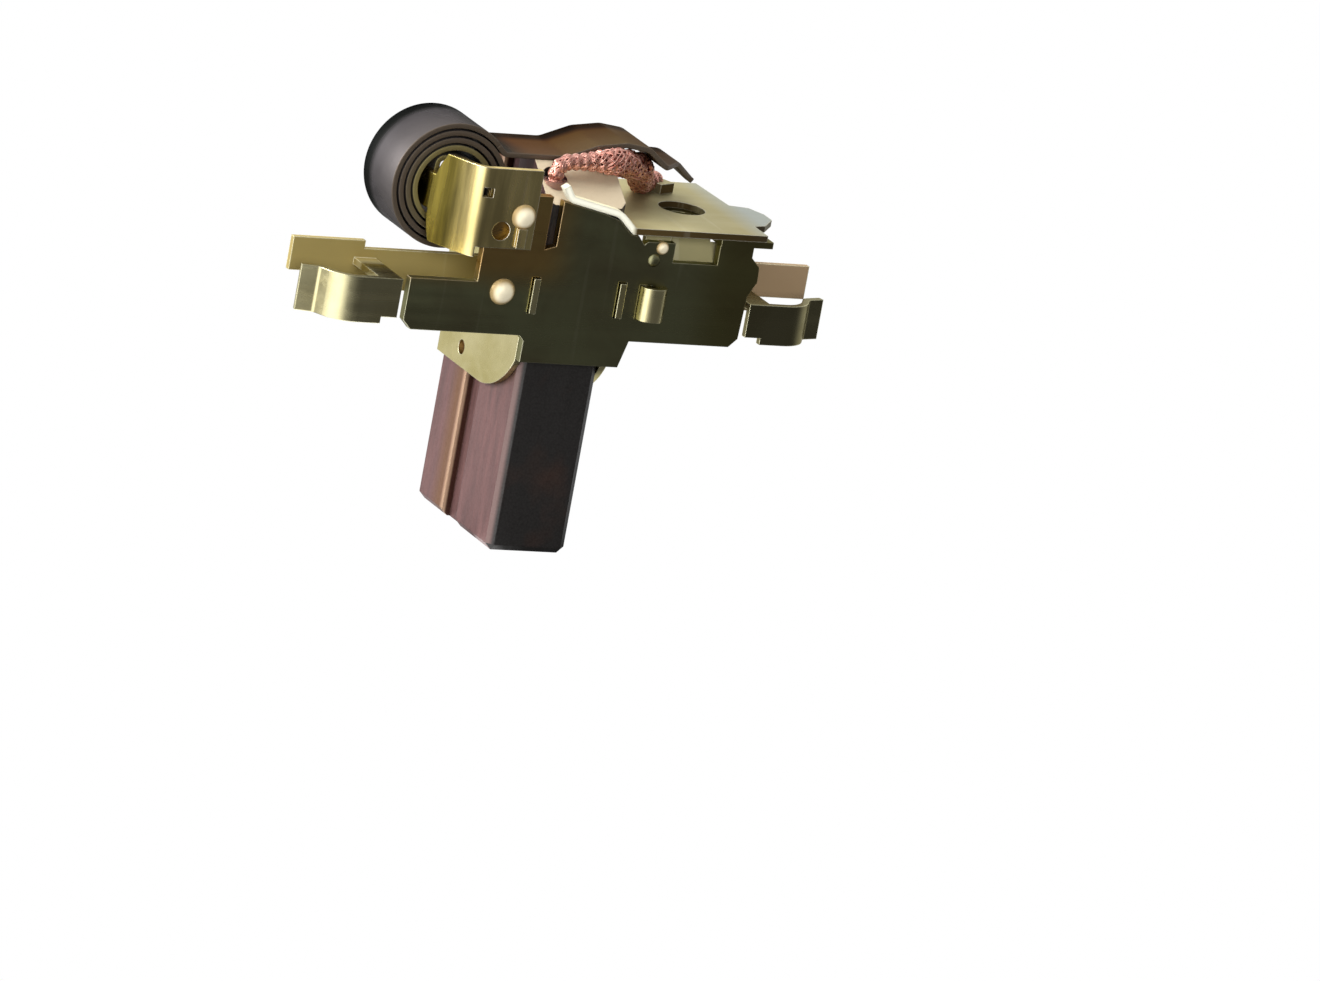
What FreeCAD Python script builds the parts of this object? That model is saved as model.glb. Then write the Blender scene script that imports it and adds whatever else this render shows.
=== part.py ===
import FreeCAD, Part
import math
import os

# Carbon brush in its stamped brass holder, with a spiral pressure spring.
# The brush slides along +Z; the origin lies on its contact end, front_reach behind its front face.
# X runs along the mounting ears and Y from the front of the holder to its back.

V = FreeCAD.Vector
os.makedirs("parts", exist_ok=True)
doc = FreeCAD.newDocument("brush_holder")

# Sizes in millimetres

SIZES = {
    "brush_width": 6.3,
    "brush_depth": 13.2,
    "front_reach": 6.25,
    "brush_length": 28.6,
    "brush_chamfer": 0.5,
    "bevel_drop": 2.3,
    "bevel_run": 3.6,
    "groove_width": 2.5,
    "groove_depth": 0.7,
    "groove_middle": 1.0,
    "slide_clearance": 0.05,
    "head_reach": 14.0,
    "channel_sheet": 0.5,
    "plate_sheet": 0.7,
    "shelf_sheet": 0.5,
    "ear_sheet": 0.5,
    "bracket_sheet": 0.5,
    "terminal_sheet": 0.5,
    "spring_sheet": 0.4,
    "spring_width": 5.3,
    "shunt_radius": 0.65,
    "plug_radius": 0.95,
    "plug_depth": 3.2,
    "rivet_shank": 0.6,
    "rivet_head": 1.0,
    "rivet_tail": 0.35,
    "rivet_flare": 0.25,
    "dome_share": 0.62,
    "stake_radius": 0.42,
    "terminal_hole": 1.75,
}
sheet = doc.addObject("Spreadsheet::Sheet", "Sizes")
for row, (alias, value) in enumerate(SIZES.items(), start=1):
    sheet.set("A%d" % row, alias)
    sheet.set("B%d" % row, str(value))
    sheet.setAlias("B%d" % row, alias)
doc.recompute()


def size(name):
    """Value of a named size."""
    return SIZES[name]


# Planes that several pieces share, worked out from the sizes

HALF_WIDTH = size("brush_width") / 2
BRUSH_FRONT = -size("front_reach")
BRUSH_BACK = BRUSH_FRONT + size("brush_depth")
WALL_IN = HALF_WIDTH + size("slide_clearance")
WALL_OUT = WALL_IN + size("channel_sheet")
PLATE_BACK = BRUSH_FRONT - size("slide_clearance")
PLATE_FRONT = PLATE_BACK - size("plate_sheet")
REAR_IN = BRUSH_BACK + size("slide_clearance")
MOUTH = size("brush_length") - size("head_reach")

# Heights above the guide's mouth and stations along the ears

EAR_BOTTOM = 2.0
EAR_TOP = 5.85
EAR_ROOT = 13.4
SHELF_TOP = 10.05
TERMINAL_TOP = SHELF_TOP + size("terminal_sheet")
POST_TOP = 12.5

# Gap round a tab or tongue in its slot, overlap of fused pads, and how far cuts run past a face

FIT_GAP = 0.08
JOIN = 0.2
PAST = 1.0

UPRIGHT = V(0, 0, 1)
STRAIGHT = FreeCAD.Rotation()
BACKWARD = FreeCAD.Rotation(V(1, 0, 0), -90)


# Sketch and feature helpers


def new_body(label, height):
    """Empty PartDesign body with the node's name, placed at a height."""
    body = doc.addObject("PartDesign::Body", label)
    body.Label = label
    body.Placement = FreeCAD.Placement(V(0, 0, height), STRAIGHT)
    return body


def sketch(body, role, shift, edges):
    """Sketch on one of the body's own origin planes, moved along the plane's normal."""
    plane = [f for f in body.Origin.OriginFeatures if f.Role == role][0]
    made = body.newObject("Sketcher::SketchObject", body.Label + "_sketch")
    made.AttachmentSupport = (plane, [""])
    made.MapMode = "FlatFace"
    made.AttachmentOffset = FreeCAD.Placement(V(0, 0, shift), FreeCAD.Rotation())
    for edge in edges:
        made.addGeometry(edge, False)
    doc.recompute()
    return made


def pad(body, role, shift, edges, length):
    """Pad of a closed outline; length is a size name or a number."""
    made = body.newObject("PartDesign::Pad", body.Label + "_pad")
    made.Profile = sketch(body, role, shift, edges)
    if isinstance(length, str):
        made.setExpression("Length", "Sizes." + length)
    else:
        made.Length = length
    doc.recompute()
    return made


def pocket(body, role, shift, edges, length):
    """Pocket that goes against the plane's normal from the shifted sketch."""
    made = body.newObject("PartDesign::Pocket", body.Label + "_pocket")
    made.Profile = sketch(body, role, shift, edges)
    if isinstance(length, str):
        made.setExpression("Length", "Sizes." + length)
    else:
        made.Length = length
    doc.recompute()
    return made


def chain(points):
    """Open chain of straight sketch edges."""
    return [Part.LineSegment(V(a[0], a[1], 0), V(b[0], b[1], 0)) for a, b in zip(points, points[1:])]


def outline(points):
    """Closed chain of straight sketch edges."""
    return chain(points + points[:1])


def arc_edge(first, middle, last):
    """Sketch arc through three points."""
    return Part.Arc(*[V(point[0], point[1], 0) for point in (first, middle, last)])


def rectangle(low_u, low_v, high_u, high_v):
    """Closed rectangle between two corners."""
    return outline([(low_u, low_v), (high_u, low_v), (high_u, high_v), (low_u, high_v)])


def circle(u, v, radius):
    """Full circle as one sketch edge."""
    return [Part.Circle(V(u, v, 0), V(0, 0, 1), radius)]


def mirrored(points):
    """Outline reflected in the YZ plane, with its turning direction kept."""
    return [(-u, v) for u, v in reversed(points)]


def fillet_path(points, radii):
    """Straight runs joined by tangent arcs; one radius for each inner corner."""
    segments = []
    start = points[0]
    for before, corner, after, radius in zip(points, points[1:], points[2:], radii):
        enter = math.atan2(corner[1] - before[1], corner[0] - before[0])
        leave = math.atan2(after[1] - corner[1], after[0] - corner[0])
        turn = (leave - enter + math.pi) % (2 * math.pi) - math.pi
        reach = radius * math.tan(abs(turn) / 2)
        touch = (corner[0] - reach * math.cos(enter), corner[1] - reach * math.sin(enter))
        side = math.copysign(1, turn)
        centre = (
            touch[0] - side * radius * math.sin(enter),
            touch[1] + side * radius * math.cos(enter),
        )
        segments.append(("line", start, touch))
        segments.append(("arc", centre, radius, enter - side * math.pi / 2, turn))
        start = (corner[0] + reach * math.cos(leave), corner[1] + reach * math.sin(leave))
    segments.append(("line", start, points[-1]))
    return segments


def point_on(centre, radius, angle):
    """Point of a circle."""
    return (centre[0] + radius * math.cos(angle), centre[1] + radius * math.sin(angle))


def side_of(segment, offset):
    """Sketch edge parallel to one path segment, offset to its left."""
    if segment[0] == "line":
        a, b = segment[1], segment[2]
        run = math.hypot(b[0] - a[0], b[1] - a[1])
        nu, nv = -(b[1] - a[1]) / run * offset, (b[0] - a[0]) / run * offset
        first = (a[0] + nu, a[1] + nv)
        last = (b[0] + nu, b[1] + nv)
        return first, last, chain([first, last])[0]
    centre, radius, begin, turn = segment[1:]
    radius = radius - abs(offset) if offset * turn > 0 else radius + abs(offset)
    first = point_on(centre, radius, begin)
    middle = point_on(centre, radius, begin + turn / 2)
    last = point_on(centre, radius, begin + turn)
    return first, last, arc_edge(first, middle, last)


def band(segments, thickness):
    """Closed outline of a strip of even thickness that follows a path."""
    left = [side_of(s, thickness / 2) for s in segments]
    right = [side_of(s, -thickness / 2) for s in segments]
    ends = chain([left[0][0], right[0][0]]) + chain([left[-1][1], right[-1][1]])
    return [s[2] for s in left] + [s[2] for s in right] + ends


def combine(kind, label, parts):
    """Boolean of finished pieces, as a node of its own."""
    made = doc.addObject("Part::" + kind, label)
    if kind == "Cut":
        made.Base, made.Tool = parts
    else:
        made.Shapes = parts
    made.Label = label
    doc.recompute()
    return made


def primitive(kind, name, place, turn=STRAIGHT, **values):
    """Part primitive at a point, whose sizes are numbers or size names."""
    made = doc.addObject("Part::" + kind, name)
    for key, value in values.items():
        if isinstance(value, str):
            made.setExpression(key, "Sizes." + value)
        else:
            setattr(made, key, value)
    made.Placement = FreeCAD.Placement(place, turn)
    doc.recompute()
    return made


nodes = []

# Carbon brush: a pressed block with a guide groove and a bevelled head

brush = new_body("carbon_brush", 0)
section = rectangle(-HALF_WIDTH, BRUSH_FRONT, HALF_WIDTH, BRUSH_BACK)
block = pad(brush, "XY_Plane", 0, section, "brush_length")
edges = []
for number, edge in enumerate(block.Shape.Edges, start=1):
    if edge.BoundBox.ZMax < 1e-6 or edge.BoundBox.ZLength > size("brush_length") - 1e-6:
        edges.append("Edge%d" % number)
chamfer = brush.newObject("PartDesign::Chamfer", "carbon_brush_chamfer")
chamfer.Base = (block, edges)
chamfer.setExpression("Size", "Sizes.brush_chamfer")
doc.recompute()
head_top = size("brush_length")
across = HALF_WIDTH + PAST
BEVEL_SLOPE = size("bevel_drop") / size("bevel_run")
bevel_end = BRUSH_FRONT + size("bevel_run")
bevel = [
    (BRUSH_FRONT - PAST, head_top + PAST),
    (BRUSH_FRONT - PAST, head_top - size("bevel_drop") - PAST * BEVEL_SLOPE),
    (bevel_end, head_top),
    (bevel_end, head_top + PAST),
]
back_bevel = [(u + BRUSH_FRONT + BRUSH_BACK, v) for u, v in mirrored(bevel)]
for shape in (bevel, back_bevel):
    pocket(brush, "YZ_Plane", across, outline(shape), 2 * across)
half_groove = size("groove_width") / 2
groove_low = size("groove_middle") - half_groove
groove_high = size("groove_middle") + half_groove
groove = rectangle(-across, groove_low, -HALF_WIDTH + size("groove_depth"), groove_high)
pocket(brush, "XY_Plane", head_top + PAST, groove, head_top + 2 * PAST)
PLUG = (-2.0, BRUSH_FRONT + 2.15)
pocket(brush, "XY_Plane", head_top, circle(PLUG[0], PLUG[1], size("plug_radius")), "plug_depth")
nodes.append(brush)

# Tamped plug that holds the copper lead in the brush

PLUG_SINK = 0.1
plug_floor = head_top - size("plug_depth")
LEAD_START = plug_floor + 0.8
plug_surface = head_top - BEVEL_SLOPE * (bevel_end - PLUG[1])
plug_height = plug_surface - plug_floor - PLUG_SINK
plug_place = V(PLUG[0], PLUG[1], plug_floor)
plug = primitive("Cylinder", "plug_outside", plug_place, Radius="plug_radius", Height=plug_height)
lead_place = V(PLUG[0], PLUG[1], LEAD_START)
lead_hole = primitive("Cylinder", "plug_lead_hole", lead_place, Radius="shunt_radius", Height="plug_depth")
nodes.append(combine("Cut", "shunt_plug", [plug, lead_hole]))

# Copper lead: straight runs joined by tangent arcs, from the plug to the terminal

LEAD_ARCH = 0.3
LEAD_POINTS = [
    V(PLUG[0], PLUG[1], LEAD_START),
    V(PLUG[0], PLUG[1], head_top + LEAD_ARCH),
    V(2.6, PLUG[1] + 0.3, head_top + LEAD_ARCH + 0.25),
    V(5.6, PLUG[1] + 3.7, head_top - 1.1),
    V(8.2, 2.7, MOUTH + TERMINAL_TOP + size("shunt_radius")),
    V(10.1, 4.0, MOUTH + TERMINAL_TOP + size("shunt_radius")),
]
LEAD_RADII = [1.0, 2.4, 2.4, 1.6]


def lead_wire(points, radii):
    """Wire of line segments and arcs through rounded corners in space."""
    parts = []
    start = points[0]
    for before, corner, after, radius in zip(points, points[1:], points[2:], radii):
        enter = (corner - before).normalize()
        leave = (after - corner).normalize()
        turn = enter.getAngle(leave)
        reach = radius * math.tan(turn / 2)
        first = corner - enter * reach
        last = corner + leave * reach
        inward = (leave - enter).normalize()
        centre = corner + inward * (radius / math.cos(turn / 2))
        middle = centre - inward * radius
        parts.append(Part.LineSegment(start, first).toShape())
        parts.append(Part.Arc(first, middle, last).toShape())
        start = last
    parts.append(Part.LineSegment(start, points[-1]).toShape())
    return Part.Wire(parts)


spine = doc.addObject("Part::Feature", "lead_spine")
spine.Shape = lead_wire(LEAD_POINTS, LEAD_RADII)
section = primitive("Circle", "lead_section", LEAD_POINTS[0], Radius="shunt_radius")
lead = doc.addObject("Part::Sweep", "copper_shunt")
lead.Sections = [section]
lead.Spine = (spine, ["Edge%d" % (n + 1) for n in range(len(spine.Shape.Edges))])
lead.Solid = True
lead.Frenet = False
lead.Label = "copper_shunt"
doc.recompute()
nodes.append(lead)
swept = spine.Shape.Length * math.pi * size("shunt_radius") ** 2
print("lead length %.2f mm, radii %s" % (spine.Shape.Length, LEAD_RADII))
print("lead volume %.2f, section x length %.2f" % (lead.Shape.Volume, swept))

# Welded pad that joins the lead's end to the terminal

WELD_SIZE = (1.5, 2.6, 0.75)
WELD_TURN = FreeCAD.Rotation(UPRIGHT, 26)
weld_corner = V(LEAD_POINTS[-1].x - 0.3, LEAD_POINTS[-1].y - 1.6, MOUTH + TERMINAL_TOP)
weld = primitive(
    "Box", "weld_block", weld_corner, WELD_TURN, Length=WELD_SIZE[0], Width=WELD_SIZE[1], Height=WELD_SIZE[2]
)
nodes.append(combine("Cut", "lead_weld", [weld, lead]))

# From here on heights are above the guide's mouth, and each body is placed there

# Channel: back wall and two side walls of the brush guide, whose toes reach below the mouth, and tabs

SIDE_LOW = -3.3
SIDE_HIGH = SHELF_TOP - 0.05
BACK_HIGH = 11.4
BACK_OUT = REAR_IN + size("channel_sheet")
TOE_START = (-1.2, SIDE_LOW)
TOE_MIDDLE = (-4.3, -2.2)
TOE_END = (PLATE_BACK, -0.1)
TOE_BACK = 6.6
TAB_LOW = 3.75
TAB_HIGH = 6.35
TAB_OUT = 0.25
PIERCING = (2.7, -1.9)
PIERCING_RADIUS = 0.55
channel = new_body("brush_channel", MOUTH)
u_shape = [
    (-WALL_OUT, PLATE_BACK),
    (-WALL_IN, PLATE_BACK),
    (-WALL_IN, REAR_IN),
    (WALL_IN, REAR_IN),
    (WALL_IN, PLATE_BACK),
    (WALL_OUT, PLATE_BACK),
    (WALL_OUT, BACK_OUT),
    (-WALL_OUT, BACK_OUT),
]
pad(channel, "XY_Plane", SIDE_LOW, outline(u_shape), SIDE_HIGH - SIDE_LOW)
back_wall = rectangle(-WALL_OUT, REAR_IN, WALL_OUT, BACK_OUT)
pad(channel, "XY_Plane", SIDE_HIGH - JOIN, back_wall, BACK_HIGH - SIDE_HIGH + JOIN)
outside = PLATE_BACK - PAST
below = SIDE_LOW - PAST
toe_cut = chain([TOE_END, (outside, TOE_END[1]), (outside, below), (TOE_START[0], below), TOE_START])
toe_cut.append(arc_edge(TOE_START, TOE_MIDDLE, TOE_END))
pocket(channel, "YZ_Plane", WALL_OUT + PAST, toe_cut, 2 * (WALL_OUT + PAST))
behind_toe = rectangle(TOE_BACK, below, BACK_OUT + PAST, 0)
pocket(channel, "YZ_Plane", WALL_OUT + PAST, behind_toe, 2 * (WALL_OUT + PAST))
piercing = circle(PIERCING[0], PIERCING[1], PIERCING_RADIUS)
pocket(channel, "YZ_Plane", -WALL_IN + PAST / 10, piercing, size("channel_sheet") + PAST / 5)
for side in (-1, 1):
    inner, outer = sorted((side * WALL_IN, side * WALL_OUT))
    tab = rectangle(inner, PLATE_FRONT - TAB_OUT, outer, PLATE_BACK + JOIN)
    pad(channel, "XY_Plane", TAB_LOW, tab, TAB_HIGH - TAB_LOW)
nodes.append(channel)

# Terminal tongue: the line it follows over the front plate's sloping top

TERMINAL_MID = SHELF_TOP + size("terminal_sheet") / 2
TONGUE_LINE = [(4.2, TERMINAL_MID), (3.6, TERMINAL_MID), (2.3, 11.5), (-1.75, 12.39), (-2.35, 13.3)]
TONGUE = fillet_path(TONGUE_LINE, [0.4, 1.5, 0.35])

# Front plate: brush guide front, both front ears, spring post and terminal shelf

SHELF_BOTTOM = SHELF_TOP - size("shelf_sheet")
TERMINAL_EYE = (10.1, -0.9)
PILOT_RADIUS = 0.9
EAR_RIVET = (-6.0, 5.2)
POST_RIVET = (-5.6, 11.0)
STAKES = (("terminal_stake_upper", (6.1, 9.15)), ("terminal_stake_lower", (5.6, 8.2)))
LUG_FOOT = (4.85, 5.75)
LUG_MIDDLE = 5.0
LUG_HALF = 1.25
EAR_CORNER = 0.65
WINDOW = (7.1, 10.7, 8.1)
front = new_body("front_plate", MOUTH)
front_outline = [
    (-3.65, 0),
    (4.2, 0),
    (4.75, EAR_BOTTOM),
    (12.75, EAR_BOTTOM),
    (EAR_ROOT, EAR_BOTTOM + EAR_CORNER),
    (EAR_ROOT + 0.15, EAR_TOP),
    (14.15, 7.0),
    (14.1, 8.1),
    (EAR_ROOT, 8.8),
    (EAR_ROOT, SHELF_BOTTOM),
    (WINDOW[1], SHELF_BOTTOM),
    (WINDOW[1], WINDOW[2]),
    (WINDOW[0], WINDOW[2]),
    (WINDOW[0], SHELF_BOTTOM),
    (4.9, SHELF_BOTTOM),
    (4.6, 9.3),
    (3.9, 10.15),
    (2.9, 10.8),
    (1.2, 11.4),
    (-2.35, 12.2),
    (-2.35, 8.8),
    (-3.25, 8.5),
    (-3.25, POST_TOP),
    (-8.1, POST_TOP),
    (-8.1, EAR_TOP),
    (-EAR_ROOT, EAR_TOP),
    (-EAR_ROOT, EAR_BOTTOM + EAR_CORNER),
    (-12.75, EAR_BOTTOM),
    (-4.0, EAR_BOTTOM),
    (-3.65, EAR_BOTTOM - 0.4),
]
pad(front, "XZ_Plane", -PLATE_BACK, outline(front_outline), "plate_sheet")
SHELF_LEFT = WINDOW[1] + 0.05
SHELF_RIGHT = 14.9
shelf = [
    (SHELF_LEFT, PLATE_FRONT),
    (SHELF_RIGHT, PLATE_FRONT),
    (SHELF_RIGHT, -1.2),
    (13.2, 1.6),
    (7.4, 1.6),
    (7.4, -4.2),
    (SHELF_LEFT, -4.2),
]
pad(front, "XY_Plane", SHELF_BOTTOM, outline(shelf), "shelf_sheet")
pilot = circle(TERMINAL_EYE[0], TERMINAL_EYE[1], PILOT_RADIUS)
pocket(front, "XY_Plane", SHELF_TOP + PAST, pilot, size("shelf_sheet") + 2 * PAST)
under_tongue = band(TONGUE, size("terminal_sheet") + 2 * FIT_GAP)
through_plate = size("plate_sheet") + 2 * PAST
pocket(front, "XZ_Plane", -PLATE_FRONT + PAST, under_tongue, through_plate)
for side in (-1, 1):
    inner, outer = sorted((side * (WALL_IN - FIT_GAP), side * (WALL_OUT + FIT_GAP)))
    slot = rectangle(inner, TAB_LOW - FIT_GAP, outer, TAB_HIGH + FIT_GAP)
    pocket(front, "XZ_Plane", -PLATE_FRONT + PAST, slot, through_plate)
lug_reach = LUG_HALF + FIT_GAP
lug_slot = rectangle(LUG_FOOT[0], LUG_MIDDLE - lug_reach, LUG_FOOT[1], LUG_MIDDLE + lug_reach)
pocket(front, "XZ_Plane", -PLATE_FRONT + PAST, lug_slot, through_plate)
shank = size("rivet_shank")
stake = size("stake_radius")
holes = [(EAR_RIVET, shank), (POST_RIVET, shank)] + [(place, stake) for name, place in STAKES]
for place, radius in holes:
    pocket(front, "XZ_Plane", -PLATE_FRONT + PAST, circle(place[0], place[1], radius), through_plate)
nodes.append(front)

# Ear springs: rear ear, forward bridge and hooked front blade of one bent strip

EAR_MIDDLE = -1.7
HALF_EAR = size("ear_sheet") / 2
BRIDGE = (13.95, 15.7)
HOOK_FRONT = PLATE_FRONT + HALF_EAR
HOOK_PATH = [(BRIDGE[0], HOOK_FRONT), (18.4, HOOK_FRONT), (19.5, -4.75), (20.9, -4.35)]
HOOK_BENDS = [2.2, 0.6]
HOOK_LOW = 2.3
NOTCH_HIGH = HOOK_LOW + 0.5
LEG_HIGH = 6.25


def ear_spring(label, side, leg_in, hook_high):
    """Ear on one side: +1 is right and -1 is left; its leg stands leg_in from the middle."""
    flip = (lambda points: points) if side > 0 else mirrored
    body = new_body(label, MOUTH)
    rear = [(leg_in, 3.4), (16.6, 3.4), (16.6, 4.5), (20.7, 4.5), (20.7, 7.0), (15.0, 7.0)]
    rear += [(15.0, 6.4), (leg_in, 6.4)]
    pad(body, "XZ_Plane", -(EAR_MIDDLE + HALF_EAR), outline(flip(rear)), "ear_sheet")
    leg_out = leg_in + 2 * HALF_EAR
    leg = [(leg_in, PLATE_BACK), (leg_out, PLATE_BACK), (leg_out, EAR_MIDDLE), (leg_in, EAR_MIDDLE)]
    pad(body, "XY_Plane", TAB_LOW, outline(flip(leg)), LEG_HIGH - TAB_LOW)
    bridge = [
        (BRIDGE[0], PLATE_FRONT),
        (BRIDGE[1], PLATE_FRONT),
        (BRIDGE[1], EAR_MIDDLE),
        (BRIDGE[0], EAR_MIDDLE),
    ]
    pad(body, "XY_Plane", hook_high - 2 * HALF_EAR, outline(flip(bridge)), "ear_sheet")
    path = fillet_path(flip(HOOK_PATH), HOOK_BENDS[::side])
    pad(body, "XY_Plane", HOOK_LOW, band(path, 2 * HALF_EAR), hook_high - HOOK_LOW)
    notch = [(13.0, HOOK_LOW - PAST), (15.2, HOOK_LOW - PAST), (15.2, NOTCH_HIGH), (13.0, NOTCH_HIGH)]
    pocket(body, "XZ_Plane", -PLATE_FRONT + PAST, outline(flip(notch)), 2 * HALF_EAR + 2 * PAST)
    return body


LEFT_LEG = 4.45
left_ear = ear_spring("ear_spring_left", -1, LEFT_LEG, 5.7)
flange = rectangle(-7.3, TAB_LOW, -LEFT_LEG, LEG_HIGH)
pad(left_ear, "XZ_Plane", -(PLATE_BACK + size("ear_sheet")), flange, "ear_sheet")
hole = circle(EAR_RIVET[0], EAR_RIVET[1], shank)
pocket(left_ear, "XZ_Plane", -PLATE_BACK + PAST, hole, size("ear_sheet") + 2 * PAST)
nodes.append(left_ear)

RIGHT_LEG = LUG_FOOT[0] + 0.05
right_ear = ear_spring("ear_spring_right", 1, RIGHT_LEG, 5.3)
LUG_RISE = 0.8
LUG_BEND = 0.72
lug_middle = RIGHT_LEG + HALF_EAR
curl = fillet_path(
    [
        (lug_middle, PLATE_BACK + 0.3),
        (lug_middle, PLATE_FRONT - LUG_RISE),
        (lug_middle + 1.55, PLATE_FRONT - LUG_RISE),
        (lug_middle + 1.55, PLATE_FRONT),
    ],
    [LUG_BEND, LUG_BEND],
)
pad(right_ear, "XY_Plane", LUG_MIDDLE - LUG_HALF, band(curl, size("ear_sheet")), 2 * LUG_HALF)
nodes.append(right_ear)

# Spring bracket: front wing, oblique cheek and arbor tongue inside the roll

WING_FRONT = PLATE_FRONT - size("bracket_sheet")
WING_MID = PLATE_FRONT - size("bracket_sheet") / 2
ARBOR_X = -11.2
CHEEK_PATH = [(-4.6, WING_MID), (-9.2, WING_MID), (ARBOR_X, -3.2), (ARBOR_X, 2.75)]
CHEEK_LOW = 7.8
CHEEK_HIGH = 14.5
CHEEK_SHARE = 0.97
FOLD = 1.0
ARBOR_LOW = 10.15
ARBOR_HEIGHT = 2.6
bracket = new_body("spring_bracket", MOUTH)
cheek_end = tuple(a + (b - a) * CHEEK_SHARE for a, b in zip(CHEEK_PATH[1], CHEEK_PATH[2]))
cheek = fillet_path(CHEEK_PATH[:2] + [cheek_end], [FOLD])
pad(bracket, "XY_Plane", CHEEK_LOW, band(cheek, size("bracket_sheet")), CHEEK_HIGH - CHEEK_LOW)
rim_low = (-3.9, CHEEK_LOW - 0.01)
rim_high = (-4.4, CHEEK_HIGH + 0.01)
rim_cut = chain([rim_high, (-2.0, rim_high[1]), (-2.0, rim_low[1]), rim_low])
rim_cut.append(arc_edge(rim_low, (-3.35, 10.8), rim_high))
pocket(bracket, "YZ_Plane", -8.0, rim_cut, 5)
bend = fillet_path(CHEEK_PATH, [FOLD, 0.8])
pad(bracket, "XY_Plane", ARBOR_LOW, band(bend, size("bracket_sheet")), ARBOR_HEIGHT)
through_wing = size("bracket_sheet") + PAST + 0.05
wing_cuts = [
    rectangle(-9.0, CHEEK_LOW - PAST, -4.0, 8.55),
    rectangle(-9.05, 12.3, -8.3, 13.0),
    circle(-7.2, 9.85, 0.7),
    circle(POST_RIVET[0], POST_RIVET[1], shank),
]
for cut in wing_cuts:
    pocket(bracket, "XZ_Plane", -WING_FRONT + PAST, cut, through_wing)
rib = rectangle(-5.95, 8.7, -5.25, 10.15)
pad(bracket, "XZ_Plane", -WING_FRONT, rib, 0.3)
nodes.append(bracket)

# Pressure spring: waved arm over the brush head, tangent run, four-turn spiral, inner hook

STRIP = size("spring_sheet")
SEAT = size("head_reach") + STRIP / 2
ROLL = (-9.35, SEAT - 2.55)
ROLL_RADIUS = 4.5
LEAVE = math.radians(45)
touch = point_on(ROLL, ROLL_RADIUS, LEAVE)
ARM = [
    (11.8, SEAT - 2.25),
    (9.1, SEAT - 0.35),
    (7.5, SEAT - 0.3),
    (5.9, SEAT + 1.0),
    (4.0, SEAT + 1.25),
    (1.8, SEAT + 0.95),
    (-0.6, SEAT),
    (touch[0] + (touch[1] - SEAT) * math.tan(LEAVE), SEAT),
    touch,
]
strip_path = fillet_path(ARM, [1.0, 1.0, 1.0, 1.2, 1.6, 1.6, 0.6])
PITCH = 0.55
HALF_TURNS = 7
INNER_STEP = 0.4
centre = ROLL
radius = ROLL_RADIUS
angle = LEAVE
sweep = 1.5 * math.pi - LEAVE
strip_path.append(("arc", centre, radius, angle, sweep))
for half_turn in range(1, HALF_TURNS + 1):
    angle += sweep
    sweep = math.pi
    smaller = radius - (INNER_STEP if half_turn == HALF_TURNS else PITCH / 2)
    end = point_on(centre, radius, angle)
    centre = (end[0] - smaller * math.cos(angle), end[1] - smaller * math.sin(angle))
    radius = smaller
    strip_path.append(("arc", centre, radius, angle, sweep))
eye = point_on(centre, radius, angle + sweep)
hook_u = ARBOR_X + (size("bracket_sheet") + STRIP) / 2
strip_path += fillet_path([eye, (hook_u, eye[1]), (hook_u, eye[1] - 2.8)], [0.5])
print("spiral inner radius %.3f, inner end at %.2f %.2f" % (radius - STRIP / 2, eye[0], eye[1]))
spring = new_body("pressure_spring", MOUTH)
half_strip = size("spring_width") / 2
pad(spring, "XZ_Plane", -half_strip, band(strip_path, STRIP), "spring_width")
TIP = (12.5, 1.7)
taper = [(7.3, -half_strip - 0.2), (TIP[0], -half_strip - 0.2), TIP, (11.6, 1.5)]
pocket(spring, "XY_Plane", SEAT + 3.2, outline(taper), 7)
nodes.append(spring)

# Terminal plate: pierced plate on the shelf with a narrow tongue over the guide front

terminal = new_body("terminal_plate", MOUTH)
plate_shape = [
    (3.5, PLATE_FRONT - 0.1),
    (14.3, PLATE_FRONT - 0.1),
    (14.3, -4.7),
    (15.3, -4.4),
    (16.6, -2.7),
    (16.6, -1.3),
    (16.0, 0.2),
    (14.6, 0.6),
    (14.4, 6.1),
    (3.5, 6.1),
]
pad(terminal, "XY_Plane", SHELF_TOP, outline(plate_shape), "terminal_sheet")
tongue_depth = size("plate_sheet") + 0.05
pad(terminal, "XZ_Plane", -PLATE_BACK + 0.05, band(TONGUE, size("terminal_sheet")), tongue_depth)
eye_edge = circle(TERMINAL_EYE[0], TERMINAL_EYE[1], size("terminal_hole"))
pocket(terminal, "XY_Plane", TERMINAL_TOP + PAST, eye_edge, size("terminal_sheet") + 2 * PAST)
down_tab = rectangle(4.95, 7.6, 7.0, SHELF_TOP + JOIN)
pad(terminal, "XZ_Plane", -(PLATE_BACK + size("terminal_sheet")), down_tab, "terminal_sheet")
FLAP_TOP = (PLATE_BACK + 1.6, SHELF_TOP + JOIN)
FLAP_END = (PLATE_BACK + 0.35, 7.8)
FLAP_LEFT = WINDOW[0] + FIT_GAP
FLAP_RIGHT = WINDOW[1] + 0.55
under_share = (FLAP_TOP[1] - SHELF_BOTTOM + 0.25) / (FLAP_TOP[1] - FLAP_END[1])
under_shelf = tuple(a + (b - a) * under_share for a, b in zip(FLAP_TOP, FLAP_END))
for start, left, right in ((FLAP_TOP, FLAP_LEFT, WINDOW[1] - FIT_GAP), (under_shelf, FLAP_LEFT, FLAP_RIGHT)):
    flap = band([("line", start, FLAP_END)], size("terminal_sheet"))
    pad(terminal, "YZ_Plane", left, flap, right - left)
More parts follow.
